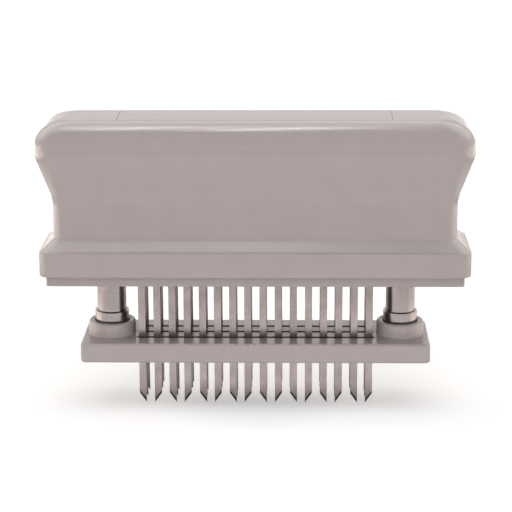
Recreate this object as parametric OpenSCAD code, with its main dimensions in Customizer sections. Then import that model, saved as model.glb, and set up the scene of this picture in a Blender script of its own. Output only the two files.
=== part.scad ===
// Hand meat tenderizer with 48 blades in three rows.
// A waisted handle carries the blades. A slotted base plate slides below it on two steel
// columns, and two coil springs inside the handle push the plate down over the tips.
// Millimetres. +X along the handle, +Y through it, +Z up. The origin is at the middle of the
// tool, at the height of the blade tips. The tool is drawn partly pressed, tips out.

/* [Blades] */
// Number of blades in each row
blades_per_row = 16; // [8:2:18]
// Distance between neighbouring blades in a row
blade_pitch = 5.08; // [4.9:0.02:5.6]
// Distance between neighbouring rows
row_pitch = 6.35; // [5.6:0.05:7]
// Width of a blade
blade_w = 2.4; // [2:0.1:2.8]
// Thickness of a blade
blade_t = 0.6; // [0.4:0.1:0.8]
// Angle of the ground tip, from the horizontal
tip_angle = 55; // [40:1:65]
// Height of the head that a blade hangs by
head_h = 1.8; // [1.2:0.1:3]
// How far a head stands out on each side of its blade
head_lip = 0.8; // [0.5:0.1:1]
// How far the tips stand out below the base plate as drawn
blade_reach = 16.45; // [8:0.05:20]

/* [Base plate] */
// Thickness of the base plate
plate_t = 6.7; // [6.2:0.1:10]
// Half the depth of the base plate
plate_half_d = 14.4; // [10.5:0.1:17]
// Material beyond each column boss at the plate's ends
plate_end = 1.65; // [0.8:0.05:6]
// Radius of the plate's corners, seen from above
plate_corner = 1.8; // [1:0.1:4]
// Radius of the plate's edges
plate_edge = 0.9; // [0.3:0.1:1.5]
// Clearance of a row's long slot on each side of its blades
slot_clearance = 0.4; // [0.3:0.05:0.8]
// Height of a column boss above the plate
boss_h = 4.65; // [3:0.05:8]
// Wall of a column boss round its column
boss_wall = 3; // [1.8:0.1:4]

/* [Columns] */
// Radius of a column
column_r = 4.92; // [4:0.02:5.5]
// Radial running clearance of a column in its bush
column_clearance = 0.06; // [0.02:0.01:0.1]
// Height of the collar at a column's foot
collar_h = 3.4; // [2:0.1:6]
// Radial wall of the collar
collar_wall = 0.82; // [0.6:0.02:2.2]
// Depth of the column's seat in its boss
seat_depth = 5.8; // [3:0.1:7]
// Radial wall of a bush
bush_wall = 1.05; // [0.8:0.05:1.6]
// Thickness of the ring that stops a column
circlip_t = 1; // [0.8:0.1:1.6]
// How far the stop ring stands out of its column
circlip_out = 1.4; // [1:0.1:1.9]
// Depth of the groove that holds the ring
groove_depth = 0.6; // [0.4:0.05:1]
// Thickness of the washer under a spring
spring_washer_t = 1; // [0.6:0.1:2]

/* [Travel] */
// How far the base plate can still rise towards the handle
travel_up = 11; // [6:0.5:14]
// How deep the tips lie in the plate when it is fully down
tip_cover = 1.05; // [0:0.05:3]
// Gap left between collar and cover, or ring and bush, at the ends of the travel
stop_gap = 0.5; // [0.3:0.1:1]

/* [Springs] */
// Wire of a spring
wire_d = 0.8; // [0.6:0.1:1]
// Number of curls in a spring
spring_turns = 10; // [7:1:12]
// Radial gap between a spring and its column
spring_gap = 0.5; // [0.35:0.05:0.8]
// Length left over in a fully pressed spring
spring_spare = 1.9; // [1.6:0.1:6]
// Rise of the first and last curl
end_curl_rise = 1.3; // [1.3:0.05:1.5]
// Thickness of a spring cap's flange
cap_flange = 1.2; // [0.8:0.1:2]
// Length of the spigot that centres a spring
cap_spigot = 2; // [1:0.1:3]

/* [Bottom cover] */
// Height of the cover's rim below the handle
cover_rim_h = 3.55; // [3:0.05:6]
// Height of the cover's plug inside the handle
cover_plug_h = 4.55; // [2.5:0.05:6]
// How far the rim is set in from the handle's flange
cover_inset = 2.1; // [1.6:0.1:2.3]
// Radius of the rim's corners, seen from above
rim_corner = 1.2; // [0.8:0.1:1.6]
// Clearance of the plug in the handle
cover_clearance = 0.3; // [0.1:0.05:0.5]
// Radius of a cover screw's shank
cover_screw_r = 1.45; // [1.2:0.05:1.6]
// Length of a cover screw under its head
cover_screw_l = 15; // [10:0.5:20]
// Distance of a cover screw from the cavity's end wall
cover_screw_in = 3.3; // [3.1:0.1:4]
// Distance of a cover screw from the middle plane
cover_screw_y = 5.6; // [5.3:0.1:6]

/* [Blade block] */
// Height of the block that spaces the blades
block_h = 12; // [8:0.5:16]
// Material of the block in front of its outer slots
block_wall = 1.55; // [1.2:0.05:3]
// Material of the block beyond the last blade's head
block_end_wall = 1.1; // [0.8:0.05:3]
// Clearance of a blade in its slot of the block, on each side
block_clearance = 0.1; // [0.05:0.01:0.15]
// Thickness of the plate that clamps the heads
clamp_t = 4; // [3:0.1:6]
// Radius of a clamp screw's shank
clamp_screw_r = 1.2; // [0.9:0.05:1.3]
// Length of a clamp screw under its head
clamp_screw_l = 12; // [8:0.5:14]

/* [Handle] */
// Wall of the handle at its waist
shell_wall = 2.3; // [1.8:0.1:3.5]
// Room inside the handle round the blade block
cavity_gap = 0.4; // [0.3:0.05:1.5]
// Room inside the handle beyond each column's axis
end_room = 15.7; // [14:0.1:22]
// Thickness of the roof over the springs
roof_t = 4.8; // [4.6:0.1:8]
// How far the flange stands out from the waist
flange_out = 4.5; // [4.2:0.1:6]
// Height of the flange's upright face
flange_h = 8.35; // [6:0.05:10]
// Height of the sloping shoulder above the flange
shoulder_h = 3.5; // [2:0.1:6]
// Height of the upright waist
waist_h = 10.2; // [6:0.1:13]
// How far the grip bulges out from the waist
bulge_out = 5.45; // [2:0.05:6]
// Height of the rounded crown above the bulge
crown_h = 8.3; // [6:0.1:12]
// How far the flat top is set in from the waist at the ends
top_in_end = 4.5; // [2:0.1:8]
// How far the flat top is set in from the waist at front and back
top_in_side = 2.4; // [2.2:0.1:4]
// Radius between the waist and the flare
flare_in_r = 18; // [8:1:20]
// Radius between the flare and the bulge
flare_out_r = 7; // [3:0.5:10]
// Corner radius of the flange, seen from above
flange_corner = 3.6; // [1.5:0.1:5]
// Corner radius of the waist
waist_corner = 4; // [2:0.1:5]
// Corner radius of the bulge
bulge_corner = 9; // [3:0.1:10]
// Radius of the small moulded edges
edge_r = 0.6; // [0.3:0.1:1]

/* [Top panel] */
// Half the length of the flush panel in the top
panel_half_l = 45; // [30:1:56]
// Thickness of the panel
panel_t = 3; // [2:0.1:3.4]
// Seam round the panel
panel_seam = 0.12; // [0.05:0.01:0.3]
// How far the panel's long edges lie inside the flat top
panel_margin = 0.25; // [0.2:0.05:1]
// Radius of the panel's locating pegs
peg_r = 1.5; // [1:0.1:2]

/* [Fasteners] */
// Radius of a plate screw's shank
plate_screw_r = 2.45; // [1.8:0.05:2.8]
// Length of a plate screw inside its column
plate_screw_grip = 10; // [6:0.5:14]
// Height of a plate screw's head
plate_screw_head_h = 2.5; // [2:0.1:3]
// Thickness of the washer under a plate screw's head
plate_washer_t = 1; // [0.6:0.1:1.2]
// Clearance round screws in their holes
screw_clearance = 0.25; // [0.15:0.05:0.35]
// Clearance of a thread in its tapped hole
thread_clearance = 0.05; // [0.02:0.01:0.08]

/* [Hidden] */

$fn = 48;
over = 1; // how far a cutting shape runs past the face that it cuts
joined = 0.1; // how far joined shapes of one piece run into each other
hole_end = 0.3; // room at the end of a blind hole
chamfer = 0.4; // broken edges on the turned parts
washer_edge = 0.1; // broken edge of a washer
corner_steps = 5; // facets of a quarter corner on the moulded skins
edge_steps = 3; // facets of a moulded edge
crown_steps = 9; // rings of the crown
arc_steps = 5; // rings of each fillet along the flare
crown_power = 2.1; // at front and back: 2 is a plain ellipse, more is squarer
crown_end_power = 1.75; // the same at the ends
shoulder_hollow = 0.3; // 0 is a straight slope
flare_corner_share = 0.3; // how much of the bulge's larger corner the lower flare already has
curl_rings = 8; // rings of one curl of a spring
wire_sides = 6; // sides of a spring's wire
plastic = [0.66, 0.62, 0.61];
dark_plastic = [0.30, 0.29, 0.29];
steel = [0.72, 0.71, 0.70];
bronze = [0.70, 0.56, 0.36];

// blade pack, seen from above
rows = [-row_pitch, 0, row_pitch];
head_w = blade_w + 2 * head_lip;
last_blade_x = (blades_per_row - 1) / 2 * blade_pitch;
block_slot_t = blade_t + 2 * block_clearance;
block_half_l = last_blade_x + head_w / 2 + block_end_wall;
block_half_d = row_pitch + block_slot_t / 2 + block_wall;
row_slot_half_l = last_blade_x + blade_w / 2 + slot_clearance;
row_slot_w = blade_t + 2 * slot_clearance;
clamp_screw_x = floor(blades_per_row / 4) * blade_pitch; // in the gap between two blades
clamp_screw_y = row_pitch / 2;

// columns, seen from above
circlip_r = column_r + circlip_out;
circlip_mouth = 1.1 * column_r;
spring_washer_r = circlip_r + 0.3; // covers the stop ring
column_room = 0.9; // between the blade block and a spring washer
column_x = block_half_l + column_room + spring_washer_r;
collar_r = column_r + collar_wall;
boss_r = column_r + boss_wall;
bush_r = column_r + column_clearance + bush_wall;

// handle and plate, seen from above
cavity_half_l = column_x + end_room;
cavity_half_d = block_half_d + cavity_gap;
waist_half_l = cavity_half_l + shell_wall;
waist_half_d = cavity_half_d + shell_wall;
flange_half_l = waist_half_l + flange_out;
flange_half_d = waist_half_d + flange_out;
rim_half_l = flange_half_l - cover_inset;
rim_half_d = flange_half_d - cover_inset;
rim_lap = 0.8; // how far the cover's rim laps under the flange
plug_half_l = rim_half_l - rim_lap - cover_clearance;
plug_half_d = rim_half_d - rim_lap - cover_clearance;
panel_half_d = waist_half_d - top_in_side - panel_margin;
panel_corner = 0.9;
plug_corner = 1.7;
cavity_corner = 1.5;
peg_in_l = 4; // pegs in from the panel's short edges
peg_in_d = 3; // pegs in from the panel's long edges
plate_half_l = column_x + boss_r + plate_end;

// heights, from the blade tips up
plate_z = blade_reach;
plate_top = plate_z + plate_t;
boss_top = plate_top + boss_h;
seat_z = boss_top - seat_depth;
collar_top = boss_top + collar_h;
cover_z = collar_top + travel_up + stop_gap;
rim_top = cover_z + cover_rim_h;
cover_top = rim_top + cover_plug_h;
ledge_gap = 0.2; // between the cover's plug and the handle's ledge
stop_rib_z = cover_top + ledge_gap;
block_top = cover_top + block_h;
clamp_top = block_top + clamp_t;
travel_down = blade_reach + tip_cover;
circlip_z = cover_top + travel_down + stop_gap;
spring_washer_z = circlip_z + circlip_t;
spring_z = spring_washer_z + spring_washer_t;
spring_l = spring_turns * wire_d + spring_spare + travel_up;
spring_top = spring_z + spring_l;
roof_z = spring_top + cap_flange;
top_z = roof_z + roof_t;
spigot_room = 1.5; // between a fully risen column and its spring cap
column_top = spring_top - cap_spigot - spigot_room - travel_up;
flange_top = rim_top + flange_h;
waist_z = flange_top + shoulder_h;
flare_z = waist_z + waist_h;
bulge_z = top_z - crown_h;
panel_z = top_z - panel_t;
spring_r = column_r + spring_gap + wire_d / 2;
cap_hub_r = 2;
cap_hub_h = roof_t - panel_t - 2 * hole_end;
cap_spigot_r = column_r - 0.5;
into_roof = roof_t / 4; // how far ribs and bosses run into the roof

// screws
head_below = 0.4; // how far a sunk head lies below the face
cover_head_r = cover_screw_r + 1.35;
cover_boss_wall = 2.2;
cover_head_h = 2;
cover_screw_x = cavity_half_l - cover_screw_in;
cover_boss_r = cover_screw_r + thread_clearance + cover_boss_wall;
cover_sink = cover_head_h + head_below;
clamp_head_r = clamp_screw_r + 0.9;
clamp_head_h = 1.6;
rib_x = floor(3 * blades_per_row / 8) * blade_pitch; // ribs that press on the clamp plate
rib_t = 2;
stop_rib_in = 1.5; // how far the ribs at the block's ends stand in from the cavity's walls
plate_head_r = plate_screw_r + 1.95;
plate_washer_r = plate_head_r + 0.15;
plate_sink_r = plate_washer_r + screw_clearance;
plate_washer_z = plate_z + plate_screw_head_h + head_below;
plate_sink_top = plate_washer_z + plate_washer_t;

// ---- moulded skins: rings of a rounded rectangle, one above another ----

// points of one ring: half length a, half depth b, corner radius r, height z
function ring(a, b, r, z) = [
    for (q = [0:3]) for (s = [0:corner_steps])
        let (turn = 90 * (q + s / corner_steps),
             cx = (q == 0 || q == 3 ? 1 : -1) * (a - r),
             cy = (q < 2 ? 1 : -1) * (b - r))
        [cx + r * cos(turn), cy + r * sin(turn), z]];

// a closed skin through stations of [z, half length, half depth, corner radius]
module skin(stations) {
    n = 4 * (corner_steps + 1);
    k = len(stations);
    points = [for (s = stations) each ring(s[1], s[2], s[3], s[0])];
    walls = [for (i = [0:k - 2]) for (j = [0:n - 1])
        let (a = i * n + j, b = i * n + (j + 1) % n)
        each [[a, a + n, b + n], [a, b + n, b]]];
    bottom = [for (j = [0:n - 1]) j];
    top = [for (j = [n - 1:-1:0]) (k - 1) * n + j];
    polyhedron(points = points, faces = concat([bottom], walls, [top]), convexity = 4);
}

// rounded edges below and above, as [offset outwards, height] on a quarter circle of radius e
function edge_low(e) = [for (s = [0:edge_steps]) let (t = 90 * s / edge_steps)
    [-e * (1 - sin(t)), e * (1 - cos(t))]];
function edge_high(e) = [for (s = [0:edge_steps]) let (t = 90 * s / edge_steps)
    [-e * (1 - cos(t)), -e * (1 - sin(t))]];

// the stations of a slab from z0 to z1 whose edges are rounded by e
function slab(a, b, corner, z0, z1, e) = concat(
    [for (p = edge_low(e)) [z0 + p[1], a + p[0], b + p[0], corner + p[0]]],
    [for (p = edge_high(e)) [z1 + p[1], a + p[0], b + p[0], corner + p[0]]]);

// ---- the handle's outline: offsets from the waist against height ----

flare_h = bulge_z - flare_z;
flare_r = flare_in_r + flare_out_r;
flare_angle = asin(flare_r / norm([flare_h, flare_r - bulge_out]))
    - atan2(flare_r - bulge_out, flare_h);

// [height, offset, corner radius] from the flange up to the foot of the waist
function flange_line() = concat(
    [for (p = edge_low(edge_r)) [rim_top + p[1], flange_out + p[0], flange_corner]],
    [for (p = edge_high(edge_r)) [flange_top + p[1], flange_out + p[0], flange_corner]],
    [for (s = [1:arc_steps]) let (u = s / arc_steps)
        [flange_top + shoulder_h * u, shoulder_out(u), waist_corner]]);

// the shoulder is a shallow hollow slope from the flange's edge to the foot of the waist
function shoulder_out(u) = (flange_out - edge_r) * (1 - u) * (1 - shoulder_hollow * u);

// from the waist over the flare to the widest line of the bulge
function flare_line() = concat(
    [for (s = [0:arc_steps]) let (t = flare_angle * s / arc_steps)
        [flare_z + flare_in_r * sin(t), flare_in_r * (1 - cos(t)), flare_corner(t)]],
    [for (s = [arc_steps:-1:0]) let (t = flare_angle * s / arc_steps)
        [bulge_z - flare_out_r * sin(t), bulge_out - flare_out_r * (1 - cos(t)), bulge_corner]]);

function flare_corner(t) =
    waist_corner + (bulge_corner - waist_corner) * flare_corner_share * t / flare_angle;

// the crown is a quarter of a superellipse, flatter at the ends than at front and back
function crown_step(s) = 90 * s / crown_steps;
function crown_out(t, top_in, power) = (bulge_out + top_in) * pow(cos(t), 2 / power) - top_in;
function crown_line() = [for (s = [1:crown_steps]) let (t = crown_step(s))
    [bulge_z + crown_h * pow(sin(t), 2 / crown_power),
     waist_half_l + crown_out(t, top_in_end, crown_end_power),
     waist_half_d + crown_out(t, top_in_side, crown_power),
     bulge_corner + (waist_corner - bulge_corner) * s / crown_steps]];

function handle_stations() = concat(
    [for (p = concat(flange_line(), flare_line()))
        [p[0], waist_half_l + p[1], waist_half_d + p[1], p[2]]],
    crown_line());

// ---- shared shapes ----

// a flat plate with true round corners, standing on z0
module rounded_plate(half_l, half_d, r, z0, h) {
    translate([0, 0, z0]) linear_extrude(h) {
        square([2 * half_l, 2 * (half_d - r)], center = true);
        square([2 * (half_l - r), 2 * half_d], center = true);
        for (x = [-1, 1], y = [-1, 1])
            translate([x * (half_l - r), y * (half_d - r)]) circle(r);
    }
}

module bar(r, z0, z1) {
    translate([0, 0, z0]) cylinder(r = r, h = z1 - z0);
}

// a washer or ring turned about its own axis, with a broken outer edge at the top
module turned_ring(inner, outer, z0, z1, broken) {
    rotate_extrude() polygon([[inner, z0], [outer, z0], [outer, z1 - broken],
        [outer - broken, z1], [inner, z1]]);
}

// one long slot for each row of blades
module row_slots(z0, z1) {
    for (y = rows) translate([-row_slot_half_l, y - row_slot_w / 2, z0])
        cube([2 * row_slot_half_l, row_slot_w, z1 - z0]);
}

// children, and their mirror images in all four quarters
module four_quarters() {
    for (x = [0, 1], y = [0, 1]) mirror([x, 0, 0]) mirror([0, y, 0]) children();
}

module at_cover_screws() {
    four_quarters() translate([cover_screw_x, cover_screw_y, 0]) children();
}

module at_clamp_screws() {
    four_quarters() translate([clamp_screw_x, clamp_screw_y, 0]) children();
}

// children at the four pegs of the top panel
module at_pegs() {
    four_quarters() translate([panel_half_l - peg_in_l, panel_half_d - peg_in_d, 0]) children();
}

module at_columns() {
    for (side = [-1, 1]) translate([side * column_x, 0, 0]) children();
}

// a screw with its head below, its shank above and a cross recess in the head
module pan_screw(shank_r, length, head_r, head_h) {
    crown = head_r / 5;
    recess_l = 1.1 * head_r;
    recess_w = 0.22 * head_r;
    difference() {
        rotate_extrude() polygon([[0, -head_h], [head_r - crown, -head_h],
            [head_r, -head_h + 2 * crown], [head_r, 0], [shank_r, 0],
            [shank_r, length - chamfer], [shank_r - chamfer, length], [0, length]]);
        for (turn = [0, 90]) rotate(turn)
            translate([-recess_l / 2, -recess_w / 2, -head_h - over])
            cube([recess_l, recess_w, over + head_h / 2]);
    }
}

// ---- handle ----

module handle_shell() {
    color(plastic) difference() {
        union() {
            difference() {
                skin(handle_stations());
                rounded_plate(cavity_half_l, cavity_half_d, cavity_corner, rim_top - over,
                    roof_z - rim_top + over);
                rounded_plate(plug_half_l + cover_clearance, plug_half_d + cover_clearance,
                    plug_corner + cover_clearance, rim_top - over,
                    cover_plug_h + ledge_gap + over);
                rounded_plate(panel_half_l + panel_seam, panel_half_d + panel_seam,
                    panel_corner + panel_seam, panel_z, panel_t + over);
            }
            at_cover_screws() bar(cover_boss_r, cover_top, roof_z + into_roof);
            for (side = [-1, 1])
                translate([side * rib_x - rib_t / 2, -cavity_half_d - shell_wall / 2, clamp_top])
                cube([rib_t, 2 * cavity_half_d + shell_wall, roof_z - clamp_top + into_roof]);
            four_quarters()
                translate([block_half_l + block_clearance, cavity_half_d - stop_rib_in, stop_rib_z])
                cube([rib_t, stop_rib_in + shell_wall / 2, roof_z - stop_rib_z + into_roof]);
        }
        at_cover_screws() bar(cover_screw_r + thread_clearance, cover_top - over,
            cover_z + cover_sink + cover_screw_l + over);
        at_columns() bar(cap_hub_r + thread_clearance, roof_z - over,
            roof_z + cap_hub_h + hole_end);
        at_pegs() bar(peg_r + thread_clearance, roof_z - over, panel_z + over);
    }
}

module top_panel() {
    color(plastic) {
        rounded_plate(panel_half_l, panel_half_d, panel_corner, panel_z, panel_t);
        at_pegs() bar(peg_r, roof_z + hole_end, panel_z + joined);
    }
}

module bottom_cover() {
    color(plastic) difference() {
        union() {
            skin(slab(rim_half_l, rim_half_d, rim_corner, cover_z, rim_top, edge_r / 2));
            rounded_plate(plug_half_l, plug_half_d, plug_corner, rim_top - joined,
                cover_plug_h + joined);
        }
        row_slots(cover_z - over, cover_top + over);
        at_columns() bar(bush_r + thread_clearance, cover_z - over, cover_top + over);
        at_cover_screws() {
            bar(cover_screw_r + screw_clearance, cover_z - over, cover_top + over);
            bar(cover_head_r + screw_clearance, cover_z - over, cover_z + cover_sink);
        }
    }
}

// ---- blade pack ----

module blade_block() {
    color(dark_plastic) difference() {
        translate([-block_half_l, -block_half_d, cover_top])
            cube([2 * block_half_l, 2 * block_half_d, block_h]);
        for (y = rows, i = [0:blades_per_row - 1])
            translate([blade_x(i) - blade_w / 2 - block_clearance, y - block_slot_t / 2,
                cover_top - over])
            cube([blade_w + 2 * block_clearance, block_slot_t, block_h + 2 * over]);
        at_clamp_screws() bar(clamp_screw_r + thread_clearance,
            clamp_top - clamp_screw_l - hole_end, block_top + over);
    }
}

module clamp_plate() {
    head_room = head_h + block_clearance;
    groove_half_l = last_blade_x + head_w / 2 + block_clearance;
    color(dark_plastic) difference() {
        translate([-block_half_l, -block_half_d, block_top])
            cube([2 * block_half_l, 2 * block_half_d, clamp_t]);
        for (y = rows) translate([-groove_half_l, y - block_slot_t / 2, block_top - over])
            cube([2 * groove_half_l, block_slot_t, over + head_room]);
        at_clamp_screws() bar(clamp_screw_r + screw_clearance, block_top - over, clamp_top + over);
    }
}

function blade_x(i) = -last_blade_x + i * blade_pitch;

// the outline of one blade, point at its right for tip_side 1 and at its left for -1
module blade(tip_side) {
    bevel_h = blade_w * tan(tip_angle);
    half = blade_w / 2;
    rotate([90, 0, 0]) linear_extrude(blade_t, center = true)
        polygon([[-tip_side * half, bevel_h], [tip_side * half, 0],
            [tip_side * half, block_top], [tip_side * head_w / 2, block_top],
            [tip_side * head_w / 2, block_top + head_h],
            [-tip_side * head_w / 2, block_top + head_h],
            [-tip_side * head_w / 2, block_top], [-tip_side * half, block_top]]);
}

// neighbouring blades turn their points to each other in pairs
module blade_row(y) {
    color(steel) for (i = [0:blades_per_row - 1])
        translate([blade_x(i), y, 0]) blade(i % 2 == 0 ? 1 : -1);
}

module blades_front() { blade_row(rows[0]); }
module blades_middle() { blade_row(rows[1]); }
module blades_rear() { blade_row(rows[2]); }

module clamp_screws() {
    color(steel) at_clamp_screws() translate([0, 0, clamp_top]) rotate([180, 0, 0])
        pan_screw(clamp_screw_r, clamp_screw_l, clamp_head_r, clamp_head_h);
}

module cover_screws() {
    color(steel) at_cover_screws() translate([0, 0, cover_z + cover_sink])
        pan_screw(cover_screw_r, cover_screw_l, cover_head_r, cover_head_h);
}

// ---- column guides and springs ----

module bush(side) {
    color(bronze) translate([side * column_x, 0, 0])
        turned_ring(column_r + column_clearance, bush_r, cover_z, cover_top, chamfer / 2);
}

module bush_left() { bush(-1); }
module bush_right() { bush(1); }

// height of the wire's middle after a number of turns: slow end curls, even ones between
function curl_z(turn) =
    let (middle = (spring_l - wire_d - 2 * end_curl_rise) / (spring_turns - 2))
    turn < 1 ? end_curl_rise * turn
    : turn > spring_turns - 1
        ? spring_l - wire_d - end_curl_rise * (spring_turns - turn)
        : end_curl_rise + middle * (turn - 1);

function curl_point(turn) = [spring_r * cos(360 * turn), spring_r * sin(360 * turn),
    spring_z + wire_d / 2 + curl_z(turn)];

// one ring of the wire, square to the curl
function wire_ring(turn) = [for (s = [0:wire_sides - 1])
    let (t = 360 * s / wire_sides, r = spring_r + wire_d / 2 * cos(t))
    [r * cos(360 * turn), r * sin(360 * turn), curl_point(turn)[2] + wire_d / 2 * sin(t)]];

module spring(side) {
    rings = spring_turns * curl_rings;
    points = [for (i = [0:rings]) each wire_ring(i / curl_rings)];
    walls = [for (i = [0:rings - 1]) for (j = [0:wire_sides - 1])
        let (a = i * wire_sides + j, b = i * wire_sides + (j + 1) % wire_sides)
        each [[a, b, b + wire_sides], [a, b + wire_sides, a + wire_sides]]];
    start = [for (j = [wire_sides - 1:-1:0]) j];
    finish = [for (j = [0:wire_sides - 1]) rings * wire_sides + j];
    color(steel) translate([side * column_x, 0, 0])
        polyhedron(points = points, faces = concat([start], walls, [finish]), convexity = 10);
}

module spring_left() { spring(-1); }
module spring_right() { spring(1); }

spring_self_gap = min([for (i = [0:(spring_turns - 1) * curl_rings])
    norm(curl_point(i / curl_rings + 1) - curl_point(i / curl_rings))]) - wire_d;
echo("least gap of a spring to itself, mm", spring_self_gap);

module spring_cap(side) {
    color(dark_plastic) translate([side * column_x, 0, 0]) {
        bar(spring_r + wire_d, spring_top, roof_z);
        bar(cap_spigot_r, spring_top - cap_spigot, spring_top + joined);
        bar(cap_hub_r, roof_z - joined, roof_z + cap_hub_h);
    }
}

module spring_cap_left() { spring_cap(-1); }
module spring_cap_right() { spring_cap(1); }

// ---- base plate and what slides with it ----

module base_plate() {
    color(plastic) difference() {
        union() {
            skin(slab(plate_half_l, plate_half_d, plate_corner, plate_z, plate_top, plate_edge));
            at_columns() rotate_extrude() polygon(concat(
                [[0, plate_top - joined], [boss_r, plate_top - joined]],
                [for (p = edge_high(plate_edge)) [boss_r + p[0], boss_top + p[1]]],
                [[0, boss_top]]));
        }
        row_slots(plate_z - over, plate_top + over);
        at_columns() {
            bar(column_r + thread_clearance, seat_z, boss_top + over);
            bar(plate_screw_r + screw_clearance, plate_z - over, seat_z + over);
            bar(plate_sink_r, plate_z - over, plate_sink_top);
        }
    }
}

module column(side) {
    groove_r = column_r - groove_depth;
    color(steel) translate([side * column_x, 0, 0]) difference() {
        rotate_extrude() polygon([[0, seat_z], [column_r - chamfer, seat_z],
            [column_r, seat_z + chamfer], [column_r, circlip_z], [groove_r, circlip_z],
            [groove_r, spring_washer_z], [column_r, spring_washer_z],
            [column_r, column_top - 2 * chamfer], [column_r - 2 * chamfer, column_top],
            [0, column_top]]);
        bar(plate_screw_r + thread_clearance, seat_z - over, seat_z + plate_screw_grip + over);
    }
}

module column_left() { column(-1); }
module column_right() { column(1); }

module collar(side) {
    color(steel) translate([side * column_x, 0, 0])
        turned_ring(column_r + thread_clearance, collar_r, boss_top, collar_top, chamfer);
}

module collar_left() { collar(-1); }
module collar_right() { collar(1); }

module plate_screw(side) {
    color(steel) translate([side * column_x, 0, plate_washer_z])
        pan_screw(plate_screw_r, seat_z - plate_washer_z + plate_screw_grip, plate_head_r,
            plate_screw_head_h);
}

module plate_screw_left() { plate_screw(-1); }
module plate_screw_right() { plate_screw(1); }

module plate_washer(side) {
    color(steel) translate([side * column_x, 0, 0])
        turned_ring(plate_screw_r + thread_clearance, plate_washer_r, plate_washer_z,
            plate_sink_top, washer_edge);
}

module plate_washer_left() { plate_washer(-1); }
module plate_washer_right() { plate_washer(1); }

// an open ring that snaps into the column's groove
module circlip(side) {
    groove_r = column_r - groove_depth + thread_clearance;
    color(steel) translate([side * column_x, 0, 0]) difference() {
        turned_ring(groove_r, circlip_r, circlip_z, spring_washer_z, washer_edge);
        mirror([side < 0 ? 1 : 0, 0, 0]) translate([0, -circlip_mouth / 2, circlip_z - over])
            cube([circlip_r + over, circlip_mouth, circlip_t + 2 * over]);
    }
}

module circlip_left() { circlip(-1); }
module circlip_right() { circlip(1); }

module spring_washer(side) {
    color(steel) translate([side * column_x, 0, 0])
        turned_ring(column_r + thread_clearance, spring_washer_r, spring_washer_z, spring_z,
            washer_edge);
}

module spring_washer_left() { spring_washer(-1); }
module spring_washer_right() { spring_washer(1); }

handle_shell();
top_panel();
bottom_cover();
blade_block();
clamp_plate();
blades_front();
blades_middle();
blades_rear();
clamp_screws();
cover_screws();
bush_left();
bush_right();
spring_left();
spring_right();
spring_cap_left();
spring_cap_right();
base_plate();
column_left();
column_right();
collar_left();
collar_right();
plate_screw_left();
plate_screw_right();
plate_washer_left();
plate_washer_right();
circlip_left();
circlip_right();
spring_washer_left();
spring_washer_right();
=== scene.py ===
import math

import bmesh
import bpy
import numpy as np
from mathutils import Euler, Matrix, Vector, geometry


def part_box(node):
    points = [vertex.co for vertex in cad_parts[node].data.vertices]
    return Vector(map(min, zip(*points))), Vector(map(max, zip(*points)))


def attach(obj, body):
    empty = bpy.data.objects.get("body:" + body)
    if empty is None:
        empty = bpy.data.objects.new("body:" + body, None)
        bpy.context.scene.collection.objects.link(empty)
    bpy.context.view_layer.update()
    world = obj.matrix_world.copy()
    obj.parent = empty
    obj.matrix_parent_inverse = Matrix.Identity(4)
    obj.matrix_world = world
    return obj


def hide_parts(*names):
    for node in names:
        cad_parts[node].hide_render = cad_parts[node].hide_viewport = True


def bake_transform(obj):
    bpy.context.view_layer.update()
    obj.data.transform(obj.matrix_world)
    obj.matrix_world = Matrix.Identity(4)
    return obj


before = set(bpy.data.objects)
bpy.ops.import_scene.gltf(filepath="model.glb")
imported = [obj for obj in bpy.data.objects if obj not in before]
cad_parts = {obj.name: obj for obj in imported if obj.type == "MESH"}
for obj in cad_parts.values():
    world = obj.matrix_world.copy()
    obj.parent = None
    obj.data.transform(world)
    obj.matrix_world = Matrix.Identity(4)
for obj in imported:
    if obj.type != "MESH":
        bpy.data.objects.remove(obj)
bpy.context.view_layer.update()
mm = 0.001
rowPitch = 6.35  # between the rows of blades, in millimetres


# camera: a long lens from the front, a little above the handle and to the right of its middle
view = {
    "target": (0.13 * mm, 0, 49.7 * mm),
    "distance": 0.62,
    "elevation": 15.0,
    "azimuth": 1.4,
    "roll": -0.27,
    "lens": 129.8,
    "sensor": 36.0,
}


def makeCamera():
    data = bpy.data.cameras.new("camera")
    data.lens = view["lens"]
    data.sensor_width = view["sensor"]
    data.clip_start = 0.05
    data.clip_end = 20
    camera = bpy.data.objects.new("camera", data)
    bpy.context.scene.collection.objects.link(camera)
    rise, turn = math.radians(view["elevation"]), math.radians(view["azimuth"])
    back = Vector((math.sin(turn) * math.cos(rise), -math.cos(turn) * math.cos(rise),
                   math.sin(rise)))
    camera.location = Vector(view["target"]) + back * view["distance"]
    aim = Euler((math.pi / 2 - rise, 0, turn)).to_matrix()
    roll = Matrix.Rotation(math.radians(view["roll"]), 3, "Z")
    camera.rotation_euler = (aim @ roll).to_euler()
    bpy.context.scene.camera = camera
    print("camera placed")


makeCamera()


# mesh tools: every shape is a grid of points, in millimetres

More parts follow.
